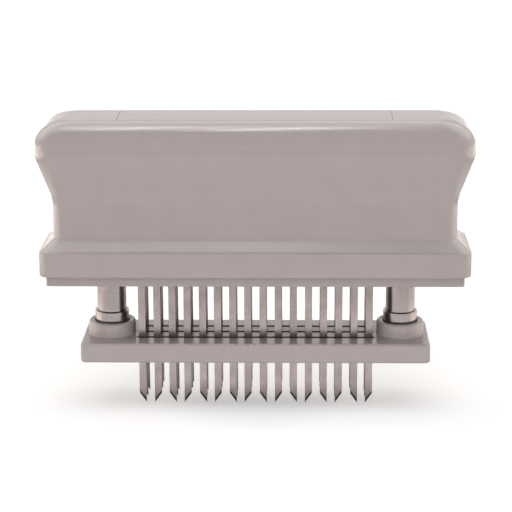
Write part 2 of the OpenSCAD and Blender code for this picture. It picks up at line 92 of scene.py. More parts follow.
def ringPattern(cornerSteps, longSteps, shortSteps):
    # one trip round a rounded rectangle, as arrays: which way each corner's centre lies from the
    # middle (signX, signY), and the direction from that centre (cos, sin). A straight side is a
    # stretch where the direction stays and one sign runs from 1 to -1.
    quarter = np.linspace(0, 90, cornerSteps + 1)
    alongTop = np.linspace(1, -1, longSteps + 1)[1:-1]
    alongEnd = np.linspace(1, -1, shortSteps + 1)[1:-1]
    signX, signY, turn = [], [], []
    for q, (sx, sy) in enumerate(((1, 1), (-1, 1), (-1, -1), (1, -1))):
        signX.append(np.full(cornerSteps + 1, float(sx)))
        signY.append(np.full(cornerSteps + 1, float(sy)))
        turn.append(quarter + 90 * q)
        if q % 2 == 0:
            signX.append(alongTop * sx)
            signY.append(np.full(alongTop.size, float(sy)))
            turn.append(np.full(alongTop.size, 90.0 * (q + 1)))
        else:
            signX.append(np.full(alongEnd.size, float(sx)))
            signY.append(alongEnd * sy)
            turn.append(np.full(alongEnd.size, 90.0 * (q + 1)))
    angle = np.radians(np.concatenate(turn))
    return np.concatenate(signX), np.concatenate(signY), np.cos(angle), np.sin(angle)


def ringStack(stations, pattern, centre=(0, 0)):
    # a skin through stations of [height, half length, half depth, corner radius]: each point is
    # its corner's centre plus the radius times its direction
    signX, signY, cos, sin = pattern
    z, a, b, r = (np.asarray(stations, float)[:, i, None] for i in range(4))
    x = centre[0] + (a - r) * signX + r * cos
    y = centre[1] + (b - r) * signY + r * sin
    return np.stack([x, y, np.broadcast_to(z, x.shape)], -1)


def footRows(low, halfX, halfY, corner, edge, steps):
    # stations that round a lower edge: a quarter circle that starts inside by its radius and
    # swings out and up. With a negative edge it rounds the mouth of an opening, going down
    turn = np.radians(np.linspace(0, 90, steps))
    inset = edge * (1 - np.sin(turn))
    rise = edge * (1 - np.cos(turn))
    return np.stack([low + rise, halfX - inset, halfY - inset, corner - inset], 1).tolist()


def brimRows(high, halfX, halfY, corner, edge, steps):
    # stations that round an upper edge: a quarter circle that swings in and up to the top
    turn = np.radians(np.linspace(0, 90, steps))
    inset = edge * (1 - np.cos(turn))
    drop = edge * (1 - np.sin(turn))
    return np.stack([high - drop, halfX - inset, halfY - inset, corner - inset], 1).tolist()


def latheStack(profile, centre, segments):
    # a profile of [radius, height] carried round an upright axis
    turn = np.linspace(0, 2 * math.pi, segments, endpoint=False)
    radius, z = np.asarray(profile, float).T
    x = centre[0] + radius[:, None] * np.cos(turn)
    y = centre[1] + radius[:, None] * np.sin(turn)
    return np.stack([x, y, np.broadcast_to(z[:, None], x.shape)], -1)


def stackFaces(rows, columns, wrap=False):
    # quads between neighbouring rings; rings run counter-clockwise seen from above, so a stack
    # that climbs faces outwards and one that goes down faces inwards
    i = np.arange(rows if wrap else rows - 1)[:, None]
    j = np.arange(columns)[None]
    up = (i + 1) % rows
    on = (j + 1) % columns
    quads = [i * columns + j, i * columns + on, up * columns + on, up * columns + j]
    return np.stack(quads, -1).reshape(-1, 4).tolist()


def solidPart(stack, startCap=True, endCap=True, wrap=False):
    # a stack of rings as (points, faces), with flat caps over its first and last ring
    rows, columns = stack.shape[:2]
    faces = stackFaces(rows, columns, wrap)
    if startCap and not wrap:
        faces.append(list(range(columns))[::-1])
    if endCap and not wrap:
        faces.append([(rows - 1) * columns + j for j in range(columns)])
    return stack.reshape(-1, 3), faces


def flatFace(loops, up):
    # a level face bounded by its first loop, with the other loops as holes
    outlines = [[Vector(p) for p in loop] for loop in loops]
    triangles = np.array(geometry.tessellate_polygon(outlines))
    points = np.concatenate(loops)
    a, b, c = (points[triangles[:, k], :2] for k in range(3))
    area = (b[:, 0] - a[:, 0]) * (c[:, 1] - a[:, 1]) - (b[:, 1] - a[:, 1]) * (c[:, 0] - a[:, 0])
    wrong = (area > 0) != up
    triangles[wrong] = triangles[wrong][:, ::-1]
    return points, triangles.tolist()


def unit(v):
    return v / np.linalg.norm(v)


def roundedPath(corners, arcSteps=4, closed=True):
    # an outline through [x, y, radius] corners: a corner with a radius becomes an arc that
    # touches both of its sides
    rows = np.asarray(corners, float)
    count = len(rows)
    points = []
    for i in range(count):
        here, radius = rows[i, :2], rows[i, 2]
        if radius == 0 or (not closed and i in (0, count - 1)):
            points.append(here[None])
            continue
        back, ahead = unit(rows[i - 1, :2] - here), unit(rows[(i + 1) % count, :2] - here)
        half = math.acos(np.clip(back @ ahead, -1, 1)) / 2
        sweep = math.pi - 2 * half
        middle = here + unit(back + ahead) * radius / math.sin(half)
        first = here + back * radius / math.tan(half) - middle
        last = here + ahead * radius / math.tan(half) - middle
        t = np.linspace(0, 1, arcSteps + 1)[:, None]
        points.append(middle + (np.sin((1 - t) * sweep) * first + np.sin(t * sweep) * last)
                      / math.sin(sweep))
    return np.concatenate(points)


def insetPath(path, distances):
    # a counter-clockwise outline with each side moved inwards by its own distance: each corner
    # is where its two moved sides meet
    side = np.roll(path, -1, axis=0) - path
    side /= np.linalg.norm(side, axis=1)[:, None]
    inward = np.stack([-side[:, 1], side[:, 0]], 1)
    level = (inward * path).sum(1) + distances
    before, levelBefore = np.roll(inward, 1, axis=0), np.roll(level, 1)
    cross = before[:, 0] * inward[:, 1] - before[:, 1] * inward[:, 0]
    x = (levelBefore * inward[:, 1] - level * before[:, 1]) / cross
    y = (before[:, 0] * level - inward[:, 0] * levelBefore) / cross
    return np.stack([x, y], 1)


def makePiece(name, parts, material, body, replaced=()):
    # joins (points, faces) parts into one mesh, merges points that lie together and shades it
    # smooth, with large flat faces left flat
    points = np.concatenate([p for p, f in parts])
    starts = np.cumsum([0] + [len(p) for p, f in parts])
    faces = [[k + start for k in face] for (p, f), start in zip(parts, starts) for face in f]
    mesh = bpy.data.meshes.new(name)
    mesh.from_pydata((points * mm).tolist(), [], faces)
    work = bmesh.new()
    work.from_mesh(mesh)
    bmesh.ops.remove_doubles(work, verts=work.verts, dist=1e-7)
    work.to_mesh(mesh)
    work.free()
    mesh.polygons.foreach_set("use_smooth", np.ones(len(mesh.polygons), bool))
    mesh.update()
    piece = bpy.data.objects.new(name, mesh)
    bpy.context.scene.collection.objects.link(piece)
    mesh.materials.append(material)
    even = piece.modifiers.new("evenNormals", "WEIGHTED_NORMAL")
    even.weight = 90  # large faces lead
    if body:
        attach(piece, body)
    if replaced:
        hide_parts(*replaced)
    return piece


def span(node):
    # a CAD node's half sizes, middle, lowest and highest z, in millimetres
    low, high = (np.array(corner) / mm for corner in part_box(node))
    half, middle = (high - low) / 2, (high + low) / 2
    return {"halfX": half[0], "halfY": half[1], "x": middle[0], "y": middle[1],
            "low": low[2], "high": high[2]}


# material tools

def newGroup(name, inputs, outputs):
    # inputs are (name, default) pairs, outputs are (name, socket type) pairs
    tree = bpy.data.node_groups.new(name, "ShaderNodeTree")
    for label, value in inputs:
        socket = tree.interface.new_socket(label, in_out="INPUT", socket_type="NodeSocketFloat")
        socket.default_value = value
    for label, kind in outputs:
        tree.interface.new_socket(label, in_out="OUTPUT", socket_type=kind)
    return tree, tree.nodes.new("NodeGroupInput"), tree.nodes.new("NodeGroupOutput")


def addNode(tree, kind, **settings):
    node = tree.nodes.new(kind)
    for key, value in settings.items():
        if key in node.inputs:
            node.inputs[key].default_value = value
        else:
            setattr(node, key, value)
    return node


def math2(tree, operation, a, b):
    # a maths node on two values, each a socket or a number
    node = tree.nodes.new("ShaderNodeMath")
    node.operation = operation
    for slot, value in zip(node.inputs, (a, b)):
        if isinstance(value, (int, float)):
            slot.default_value = value
        else:
            tree.links.new(value, slot)
    return node.outputs[0]


def mouldedGroup():
    # the skin of a moulded part: a fine spark-eroded grain, a slow unevenness from cooling, and
    # faint marks from handling
    tree, ins, outs = newGroup(
        "mouldedSkin",
        [("Grain Scale", 2600.0), ("Wave Scale", 34.0), ("Mark Scale", 150.0)],
        [("Grain", "NodeSocketFloat"), ("Wave", "NodeSocketFloat"), ("Marks", "NodeSocketFloat")])
    place = addNode(tree, "ShaderNodeTexCoord").outputs["Object"]
    for label, output, detail, rough in (("Grain Scale", "Grain", 2.0, 0.55),
                                         ("Wave Scale", "Wave", 1.0, 0.4),
                                         ("Mark Scale", "Marks", 4.0, 0.6)):
        noise = addNode(tree, "ShaderNodeTexNoise", Detail=detail, Roughness=rough)
        tree.links.new(place, noise.inputs["Vector"])
        tree.links.new(ins.outputs[label], noise.inputs["Scale"])
        tree.links.new(noise.outputs["Fac"], outs.inputs[output])
    return tree


def drawnGroup():
    # fine lines left by drawing, rolling or turning: noise stretched along X, Y or Z by its scales
    tree, ins, outs = newGroup(
        "drawnLines",
        [("Scale X", 4000.0), ("Scale Y", 4000.0), ("Scale Z", 60.0), ("Stain Scale", 120.0)],
        [("Lines", "NodeSocketFloat"), ("Stains", "NodeSocketFloat")])
    place = addNode(tree, "ShaderNodeTexCoord").outputs["Object"]
    scales = tree.nodes.new("ShaderNodeCombineXYZ")
    for axis in "XYZ":
        tree.links.new(ins.outputs["Scale " + axis], scales.inputs[axis])
    stretch = addNode(tree, "ShaderNodeVectorMath", operation="MULTIPLY")
    tree.links.new(place, stretch.inputs[0])
    tree.links.new(scales.outputs[0], stretch.inputs[1])
    lines = addNode(tree, "ShaderNodeTexNoise", Scale=1.0, Detail=3.0, Roughness=0.6)
    tree.links.new(stretch.outputs[0], lines.inputs["Vector"])
    tree.links.new(lines.outputs["Fac"], outs.inputs["Lines"])
    stains = addNode(tree, "ShaderNodeTexNoise", Detail=3.0, Roughness=0.65)
    tree.links.new(place, stains.inputs["Vector"])
    tree.links.new(ins.outputs["Stain Scale"], stains.inputs["Scale"])
    tree.links.new(stains.outputs["Fac"], outs.inputs["Stains"])
    return tree


def placeGroup(tree, group, **values):
    node = tree.nodes.new("ShaderNodeGroup")
    node.node_tree = group
    for key, value in values.items():
        node.inputs[key.replace("_", " ")].default_value = value
    return node


def startMaterial(name):
    material = bpy.data.materials.new(name)
    material.use_nodes = True
    tree = material.node_tree
    return material, tree, tree.nodes["Principled BSDF"]


def ramp(tree, source, start, end, low, high, kind="SMOOTHSTEP"):
    # a value that runs from low to high while the source runs from start to end
    node = addNode(tree, "ShaderNodeMapRange", interpolation_type=kind)
    for label, value in zip(("From Min", "From Max", "To Min", "To Max"), (start, end, low, high)):
        node.inputs[label].default_value = value
    tree.links.new(source, node.inputs["Value"])
    return node.outputs["Result"]


def spread(tree, source, low, high):
    # maps the middle stretch of a noise value, where most of it lies, onto low to high
    return ramp(tree, source, 0.3, 0.7, low, high, "LINEAR")


def objectAxes(tree):
    # the outputs X, Y and Z of the place on the piece, in metres
    axes = tree.nodes.new("ShaderNodeSeparateXYZ")
    tree.links.new(addNode(tree, "ShaderNodeTexCoord").outputs["Object"], axes.inputs[0])
    return axes.outputs


def blendColours(tree, factor, first, second):
    # mixes two colours, each a socket or (red, green, blue)
    mix = addNode(tree, "ShaderNodeMix", data_type="RGBA")
    for slot, colour in zip(mix.inputs[6:8], (first, second)):
        if isinstance(colour, tuple):
            slot.default_value = (*colour, 1)
        else:
            tree.links.new(colour, slot)
    tree.links.new(factor, mix.inputs[0])
    return mix.outputs[2]


def bumpFrom(tree, height, distance, strength=1.0):
    bump = addNode(tree, "ShaderNodeBump")
    bump.inputs["Strength"].default_value = strength
    bump.inputs["Distance"].default_value = distance
    tree.links.new(height, bump.inputs["Height"])
    return bump.outputs["Normal"]


mouldedSkin = mouldedGroup()
drawnLines = drawnGroup()

finish = {
    "markGloss": 0.015,  # how far handling marks move the plastic's roughness
    "waveHeight": 12.0,  # the slow unevenness, in heights of the grain
    "streakLength": 12.0,  # scales of the flow lines along and across the panel
    "streakWidth": 900.0,
    "plasticIor": 1.5,
    "lineGloss": (-0.05, 0.07),  # how far drawn lines move the steel's roughness
    "downShadeBelow": -0.05,  # a face whose normal points down by more than this gets painted shade
}


def plasticMaterial(name, dark, light, roughness, grain, dull=None, slots=None, streaks=None):
    # moulded plastic: its colour drifts a little, its gloss is broken by grain and handling.
    # dull is four heights and an extra roughness, which comes in between the first two and goes
    # between the last two. slots is (pitch, half width, half length, colour of a painted shade
    # along each slot line, over its walls and mouths), and streaks is the share of flow lines in
    # the tint
    material, tree, surface = startMaterial(name)
    skin = placeGroup(tree, mouldedSkin)
    tint = spread(tree, skin.outputs["Marks"], 0.0, 1.0)
    if streaks:
        across = finish["streakWidth"]
        lines = placeGroup(tree, drawnLines, Scale_X=finish["streakLength"], Scale_Y=across,
                           Scale_Z=across)
        lines = spread(tree, lines.outputs["Lines"], -streaks, streaks)
        tint = math2(tree, "ADD", tint, lines)
    colour = blendColours(tree, tint, dark, light)
    if slots:
        pitch, halfWidth, halfLength, wall = slots
        # painted shade along the slot lines: wall is the colour of the shade that falls inside the
        # slots and at their mouths
        axes = objectAxes(tree)
        near = math2(tree, "LESS_THAN", math2(tree, "PINGPONG", axes["Y"], pitch / 2), halfWidth)
        for axis, reach in (("X", halfLength), ("Y", pitch * 1.3)):  # three rows, no more
            inside = math2(tree, "LESS_THAN", math2(tree, "ABSOLUTE", axes[axis], 0.0), reach)
            near = math2(tree, "MULTIPLY", near, inside)
        colour = blendColours(tree, near, colour, wall)
    tree.links.new(colour, surface.inputs["Base Color"])
    shift = finish["markGloss"]
    marks = spread(tree, skin.outputs["Marks"], roughness - shift, roughness + shift)
    if dull:
        z = objectAxes(tree)["Z"]
        *heights, extra = dull
        extra = math2(tree, "MULTIPLY", ramp(tree, z, *heights[:2], 0.0, extra),
                      ramp(tree, z, *heights[2:], 1.0, 0.0))
        marks = math2(tree, "ADD", marks, extra)
    tree.links.new(marks, surface.inputs["Roughness"])
    height = math2(tree, "ADD", skin.outputs["Grain"],
                   math2(tree, "MULTIPLY", skin.outputs["Wave"], finish["waveHeight"]))
    tree.links.new(bumpFrom(tree, height, grain), surface.inputs["Normal"])
    surface.inputs["IOR"].default_value = finish["plasticIor"]
    return material


def steelMaterial(name, dark, light, roughness, lineDepth, downShade=None, lowShade=None, **scales):
    # stainless steel with drawn or turned lines and faint stains. Its two optional settings paint
    # shade:
    # one colour for the faces that point down, and (z, z, colour) for a shade that deepens towards
    # the floor
    material, tree, surface = startMaterial(name)
    lines = placeGroup(tree, drawnLines, **scales)
    tint = spread(tree, lines.outputs["Stains"], 0.0, 1.0)
    colour = blendColours(tree, tint, dark, light)
    # painted shade: the steel darkens towards the floor, starting below the second height and full
    # below the first
    if lowShade:
        low, high, shade = lowShade
        share = ramp(tree, objectAxes(tree)["Z"], low, high, 1.0, 0.0)
        colour = blendColours(tree, share, colour, shade)
    # painted shade: faces that point down, the ground facets at the tips among them, take a
    # near-black colour for the shadow under the tool
    if downShade:
        facing = tree.nodes.new("ShaderNodeSeparateXYZ")
        tree.links.new(addNode(tree, "ShaderNodeNewGeometry").outputs["Normal"], facing.inputs[0])
        facesDown = math2(tree, "LESS_THAN", facing.outputs["Z"], finish["downShadeBelow"])
        colour = blendColours(tree, facesDown, colour, downShade)
    tree.links.new(colour, surface.inputs["Base Color"])
    surface.inputs["Metallic"].default_value = 1.0
    smoother, rougher = finish["lineGloss"]
    gloss = spread(tree, lines.outputs["Lines"], roughness + smoother, roughness + rougher)
    tree.links.new(gloss, surface.inputs["Roughness"])
    tree.links.new(bumpFrom(tree, lines.outputs["Lines"], lineDepth), surface.inputs["Normal"])
    return material


colours = {
    "plasticDark": (0.311, 0.269, 0.260),
    "plasticLight": (0.323, 0.278, 0.270),
    "innerDark": (0.060, 0.058, 0.058),
    "innerLight": (0.085, 0.082, 0.082),
    # painted shade inside the base plate's slots
    "slotShade": (0.115, 0.092, 0.086),
    "bladeDark": (0.335, 0.295, 0.28),
    "bladeLight": (0.50, 0.425, 0.425),
    # painted shade on the blades near the floor
    "bladeLowShade": (0.17, 0.15, 0.145),
    # painted shade for blade faces that point down
    "tipDownShade": (0.045, 0.04, 0.04),
    "steelDark": (0.345, 0.30, 0.29),
    "steelLight": (0.42, 0.365, 0.355),
    "bronzeDark": (0.36, 0.20, 0.08),
    "bronzeLight": (0.52, 0.32, 0.14),
}

handlePlastic = plasticMaterial(
    "handlePlastic", colours["plasticDark"], colours["plasticLight"], 0.16, 0.000003,
    dull=(0.043, 0.052, 0.070, 0.088, 0.09))
panelPlastic = plasticMaterial(
    "panelPlastic", colours["plasticDark"], colours["plasticLight"], 0.18, 0.000003, streaks=2.0)
platePlastic = plasticMaterial(
    "platePlastic", colours["plasticDark"], colours["plasticLight"], 0.18, 0.000003,
    slots=(rowPitch * mm, 1.0 * mm, 40.4 * mm, colours["slotShade"]))
innerPlastic = plasticMaterial(
    "innerPlastic", colours["innerDark"], colours["innerLight"], 0.5, 0.00001)
bladeSteel = steelMaterial(
    "bladeSteel", colours["bladeDark"], colours["bladeLight"], 0.28, 0.000005,
    colours["tipDownShade"], (0.0005, 0.009, colours["bladeLowShade"]),
    Scale_X=5200.0, Scale_Y=5200.0, Scale_Z=90.0)
columnSteel = steelMaterial(
    "columnSteel", colours["steelDark"], colours["steelLight"], 0.22, 0.000004,
    Scale_X=300.0, Scale_Y=300.0, Scale_Z=5200.0)
screwSteel = steelMaterial(
    "screwSteel", colours["steelDark"], colours["steelLight"], 0.34, 0.000006,
    Scale_X=900.0, Scale_Y=900.0, Scale_Z=900.0)
springSteel = steelMaterial(
    "springSteel", colours["steelDark"], colours["steelLight"], 0.28, 0.000004,
    Scale_X=900.0, Scale_Y=900.0, Scale_Z=4000.0)
bushBronze = steelMaterial(
    "bushBronze", colours["bronzeDark"], colours["bronzeLight"], 0.35, 0.000006,
    Scale_X=500.0, Scale_Y=500.0, Scale_Z=3000.0)
print("materials made")


shellSpan = span("handle_shell")
coverSpan = span("bottom_cover")
panelSpan = span("top_panel")

handle = {
    "flangeHeight": 8.35,
    "shoulderHeight": 3.5,
    "waistHeight": 10.2,
    "crownHeight": 8.3,
    "flangeOut": 4.5,  # the flange, bulge and flat top are measured from the waist
    "bulgeOut": 5.45,
    "topInEnd": 4.5,
    "topInSide": 2.4,
    "flareInner": 18.0,  # radius between waist and flare
    "flareOuter": 16.0,  # radius between flare and bulge
    "flangeCorner": 3.6,
    "waistCorner": 4.0,
    "cornerEase": 1.5,  # over 1, the corners stay tight low in the flare
    "bulgeCorner": 7.6,
    "edge": 0.6,
    "lowEdge": 0.3,
    "crownPower": 2.1,
    "crownEndPower": 1.75,
    "crownStart": 3.0,  # degrees that the crown leans in at once above the parting line
    "shoulderHollow": 0.16,
    "creaseRadius": 1.5,  # where the shoulder meets the waist
    "wall": 2.3,
    "cavityCorner": 1.5,
    "roofUnder": 1.2,  # the cavity's roof below the top of the spring caps
    "mouthIn": 0.8,  # the mouth for the bottom cover, inside its rim
    "mouthCorner": 2.0,
    "mouthGap": 0.2,
    "recessCorner": 1.0,
    "seam": 0.08,
    "seamEdge": 0.10,
}

panel = {
    "thickness": 3.0,
    "corner": 0.9,
    "pegRadius": 1.5,
    "pegInX": 4.0,
    "pegInY": 3.0,
    "pegOverlap": 0.1,
}


def flareLine(height, out, inner, outer, steps):
    # [rise, offset] from the upright waist to the upright bulge: an arc of radius inner, the
    # straight that touches both arcs, and an arc of radius outer
    both = inner + outer
    angle = math.asin(both / math.hypot(height, both - out)) - math.atan2(both - out, height)
    t = np.linspace(0, angle, steps)
    low = np.stack([inner * np.sin(t), inner * (1 - np.cos(t))], 1)
    high = np.stack([height - outer * np.sin(t), out - outer * (1 - np.cos(t))], 1)[::-1]
    share = np.linspace(0, 1, steps)[1:-1, None]
    straight = low[-1] + (high[0] - low[-1]) * share
    return np.concatenate([low, straight, high])


def crownLine(steps):
    # rise, reach at the ends and reach at front and back, as shares: a quarter of a superellipse
    # that starts a few degrees up its side, so that it meets the flare in a faint crease
    h = handle
    t = np.radians(np.linspace(h["crownStart"], 90, steps))
    rise = np.sin(t) ** (2 / h["crownPower"])
    atEnds, atSides = (np.cos(t) ** (2 / h[key]) for key in ("crownEndPower", "crownPower"))
    return (rise - rise[0]) / (1 - rise[0]), atEnds / atEnds[0], atSides / atSides[0]


def handleStations():
    # stations from the cavity's roof down inside, round the flange, up the outside and into the
    # panel's recess
    h = handle
    waistL = shellSpan["halfX"] - h["bulgeOut"]
    waistD = shellSpan["halfY"] - h["bulgeOut"]
    rimTop, top = shellSpan["low"], shellSpan["high"]
    cavityL, cavityD = waistL - h["wall"], waistD - h["wall"]
    roof = span("spring_cap_left")["high"] - h["roofUnder"]
    ledge = coverSpan["high"] + h["mouthGap"]
    plugL, plugD = coverSpan["halfX"] - h["mouthIn"], coverSpan["halfY"] - h["mouthIn"]
    flangeTop = rimTop + h["flangeHeight"]
    waistLow = flangeTop + h["shoulderHeight"]
    flareLow = waistLow + h["waistHeight"]
    bulge = top - h["crownHeight"]
    flangeL, flangeD, edge = waistL + h["flangeOut"], waistD + h["flangeOut"], h["edge"]
    rows = [[roof, cavityL, cavityD, h["cavityCorner"]],
            [ledge, cavityL, cavityD, h["cavityCorner"]],
            [ledge, plugL, plugD, h["mouthCorner"]], [rimTop, plugL, plugD, h["mouthCorner"]]]
    rows += footRows(rimTop, flangeL, flangeD, h["flangeCorner"], h["lowEdge"], 6)
    rows += brimRows(flangeTop, flangeL, flangeD, h["flangeCorner"], edge, 6)
    steep = math.atan((h["flangeOut"] - edge) * (1 - h["shoulderHollow"]) / h["shoulderHeight"])
    creaseTop = waistLow + h["creaseRadius"] * math.tan(steep / 2)
    creaseLow = creaseTop - h["creaseRadius"] * math.sin(steep)
    for u in np.linspace(0, (creaseLow - flangeTop) / h["shoulderHeight"], 11)[1:-1]:
        out = (h["flangeOut"] - edge) * (1 - u) * (1 - h["shoulderHollow"] * u)
        corner = h["flangeCorner"] - edge + (h["waistCorner"] - h["flangeCorner"] + edge) * u
        rows.append([flangeTop + h["shoulderHeight"] * u, waistL + out, waistD + out, corner])
    for t in np.linspace(steep, 0, 6):
        out = h["creaseRadius"] * (1 - math.cos(t))
        rows.append([creaseTop - h["creaseRadius"] * math.sin(t), waistL + out, waistD + out,
                     h["waistCorner"]])
    for z in np.linspace(creaseTop, flareLow, 8)[1:-1]:
        rows.append([z, waistL, waistD, h["waistCorner"]])
    flare = flareLine(bulge - flareLow, h["bulgeOut"], h["flareInner"], h["flareOuter"], 14)
    for rise, out in flare:
        share = (rise / (bulge - flareLow)) ** h["cornerEase"]
        rows.append([flareLow + rise, waistL + out, waistD + out,
                     h["waistCorner"] + (h["bulgeCorner"] - h["waistCorner"]) * share])
    rise, atEnds, atSides = crownLine(34)
    for i in range(1, rise.size):
        share = i / (rise.size - 1)
        rows.append([
            bulge + h["crownHeight"] * rise[i],
            waistL - h["topInEnd"] + (h["bulgeOut"] + h["topInEnd"]) * atEnds[i],
            waistD - h["topInSide"] + (h["bulgeOut"] + h["topInSide"]) * atSides[i],
            h["bulgeCorner"] + (h["waistCorner"] - h["bulgeCorner"]) * share])
    recessL, recessD = panelSpan["halfX"] + h["seam"], panelSpan["halfY"] + h["seam"]
    rows += footRows(top, recessL, recessD, h["recessCorner"], -h["seamEdge"], 4)
    rows.append([top - panel["thickness"], recessL, recessD, h["recessCorner"]])
    return rows


def makeHandle():
    stack = ringStack(handleStations(), ringPattern(12, 60, 8))
    return makePiece("handleShell", [solidPart(stack)], handlePlastic, "handle",
                     ["handle_shell"])


def makeTopPanel():
    # a flush slab with softened edges, on four pegs
    p, s = panel, panelSpan
    top, bottom = shellSpan["high"], shellSpan["high"] - p["thickness"]
    rows = [[bottom, s["halfX"], s["halfY"], p["corner"]]]
    rows += brimRows(top, s["halfX"], s["halfY"], p["corner"], handle["seamEdge"], 5)
    parts = [solidPart(ringStack(rows, ringPattern(8, 24, 6)))]
    peg = [[p["pegRadius"], s["low"]], [p["pegRadius"], bottom + p["pegOverlap"]]]
    for x in (-1, 1):
        for y in (-1, 1):
            centre = (x * (s["halfX"] - p["pegInX"]), y * (s["halfY"] - p["pegInY"]))
            parts.append(solidPart(latheStack(peg, centre, 24)))
    return makePiece("topPanel", parts, panelPlastic, "handle", ["top_panel"])


makeHandle()
makeTopPanel()
print("handle shell and top panel made")


# the bottom cover and the base plate are slabs with openings

def slotStack(centreY, halfLength, halfWidth, edge, top, bottom, pattern):
    # the wall of one long slot, from its top mouth down to its bottom mouth, with soft edges
    rows = footRows(top, halfLength, halfWidth, halfWidth * slotRound, -edge, 4)
    for row in rows[::-1]:
        rows.append([bottom + (top - row[0]), *row[1:]])
    return ringStack(rows, pattern, (0, centreY))


def slabWithOpenings(outer, openings):
    # a slab whose outer skin climbs from its bottom loop to its top loop, pierced by openings
    # whose skins run from the top face down to the bottom face
    parts = [solidPart(stack, False, False) for stack in [outer] + openings]
    parts.append(flatFace([outer[-1]] + [o[0] for o in openings], up=True))
    parts.append(flatFace([outer[0]] + [o[-1] for o in openings], up=False))
    return parts


slotRound = 0.7  # the radius of a slot's corners, as a share of its half width
slotPattern = ringPattern(4, 30, 1)
bladeSpan = span("blades_front")

cover = {
    "rimHeight": 3.55,
    "plugIn": 1.1,
    "plugCorner": 1.7,
    "corner": 1.2,
    "edge": 0.35,
    "slotEdge": 0.25,
    "screwX": 61.1,
    "screwY": 5.6,
    "screwHole": 1.7,
    "sinkRadius": 3.05,
    "sinkDepth": 2.4,
    "chamfer": 0.3,
    "bushGap": 0.05,
}

basePlate = {
    "corner": 1.8,
    "edge": 0.9,
    "bossHeight": 4.65,
    "bossRadius": 7.92,
    "bossEdge": 0.9,
    "bossFillet": 0.35,
    "seatRadius": 4.97,
    "seatDepth": 5.8,
    "screwHole": 2.7,
    "sinkRadius": 4.8,
    "sinkDepth": 3.9,
    "chamfer": 0.3,
    "slotHalfLength": 39.7,
    "slotHalfWidth": 0.7,
    "slotEdge": 0.25,
}


def makeCover():
    c, p, s = cover, basePlate, coverSpan
    rimTop = s["low"] + c["rimHeight"]
    plugL, plugD = s["halfX"] - c["plugIn"], s["halfY"] - c["plugIn"]
    rows = footRows(s["low"], s["halfX"], s["halfY"], c["corner"], c["edge"], 5)
    rows += [[rimTop, s["halfX"], s["halfY"], c["corner"]],
             [rimTop, plugL, plugD, c["plugCorner"]], [s["high"], plugL, plugD, c["plugCorner"]]]
    outer = ringStack(rows, ringPattern(10, 24, 8))
    openings = [slotStack(y, p["slotHalfLength"], p["slotHalfWidth"], c["slotEdge"], s["high"],
                          s["low"], slotPattern) for y in (-rowPitch, 0, rowPitch)]
    bush = span("bush_left")
    bushHole = bush["halfX"] + c["bushGap"]
    sinkTop = s["low"] + c["sinkDepth"]
    screwHole = [[c["screwHole"], s["high"]], [c["screwHole"], sinkTop], [c["sinkRadius"], sinkTop],
                 [c["sinkRadius"], s["low"] + c["chamfer"]],
                 [c["sinkRadius"] + c["chamfer"], s["low"]]]
    for side in (-1, 1):
        openings.append(latheStack([[bushHole, s["high"]], [bushHole, s["low"]]],
                                   (side * abs(bush["x"]), 0), 64))
        for y in (-1, 1):
            openings.append(latheStack(screwHole, (side * c["screwX"], y * c["screwY"]), 40))
    return makePiece("bottomCover", slabWithOpenings(outer, openings), handlePlastic, "handle",
                     ["bottom_cover"])


def makeBasePlate():
    p, s = basePlate, span("base_plate")
    column = abs(span("column_left")["x"])
    top = s["high"] - p["bossHeight"]
    rows = footRows(s["low"], s["halfX"], s["halfY"], p["corner"], p["edge"], 7)
    rows += brimRows(top, s["halfX"], s["halfY"], p["corner"], p["edge"], 7)
    outer = ringStack(rows, ringPattern(10, 24, 8))
    openings = [slotStack(y, p["slotHalfLength"], p["slotHalfWidth"], p["slotEdge"], top,
                          s["low"], slotPattern) for y in (-rowPitch, 0, rowPitch)]
    seat = s["high"] - p["seatDepth"]
    sink = s["low"] + p["sinkDepth"]
    profile = roundedPath([
        [p["bossRadius"] + p["bossFillet"], top, 0], [p["bossRadius"], top, p["bossFillet"]],
        [p["bossRadius"], s["high"], p["bossEdge"]], [p["seatRadius"], s["high"], 0],
        [p["seatRadius"], seat, 0], [p["screwHole"], seat, 0], [p["screwHole"], sink, 0],
        [p["sinkRadius"], sink, 0], [p["sinkRadius"], s["low"] + p["chamfer"], 0],
        [p["sinkRadius"] + p["chamfer"], s["low"], 0]], 6, closed=False)
    for side in (-1, 1):
        openings.append(latheStack(profile[1:], (side * column, 0), 96))
    return makePiece("basePlate", slabWithOpenings(outer, openings), platePlastic, "press_plate",
                     ["base_plate"])


makeCover()
makeBasePlate()
print("bottom cover and base plate made")


blades = {
    "perRow": 16,
    "pitch": 5.08,
    "width": 2.4,
    "thickness": 0.6,
    "tipAngle": 55.0,
    "headWidth": 4.0,
    "headHeight": 1.8,
    "softEdge": 0.07,
    "grind": 0.85,  # width of the ground facet along the slanted tip
    "innerGrind": 0.75,  # the share of it that is left where the soft edge ends
    "play": 0.10,  # how far a tip may wander sideways in its slot
    "seed": 11,
}


def bladeShape(tipSide):
    # one blade as rings across its thickness: its outline, with soft edges along its sides and a
    # ground facet along the slanted tip
    b = blades
    half, head, high = b["width"] / 2, b["headWidth"] / 2, bladeSpan["high"]
    neck = high - b["headHeight"]
    rise = b["width"] * math.tan(math.radians(b["tipAngle"]))
    path = np.array([[-half, rise], [half, 0], [half, neck], [head, neck], [head, high],
                     [-head, high], [-head, neck], [-half, neck]])
    isTip = np.array([1, 0, 0, 0, 0, 0, 0, 0])
    soft, halfT = b["softEdge"], b["thickness"] / 2
    inner = b["grind"] * b["innerGrind"]
    rings = []
    for y, side, grind in ((-halfT, soft, b["grind"]), (soft - halfT, 0, inner), (0, 0, 0),
                           (halfT - soft, 0, inner), (halfT, soft, b["grind"])):
        inset = insetPath(path, np.where(isTip, grind, side))
        rings.append(np.stack([inset[:, 0], np.full(8, y), inset[:, 1]], 1))
    stack = np.array(rings)
    if tipSide < 0:
        stack[..., 0] *= -1
        stack = stack[:, ::-1]
    return stack


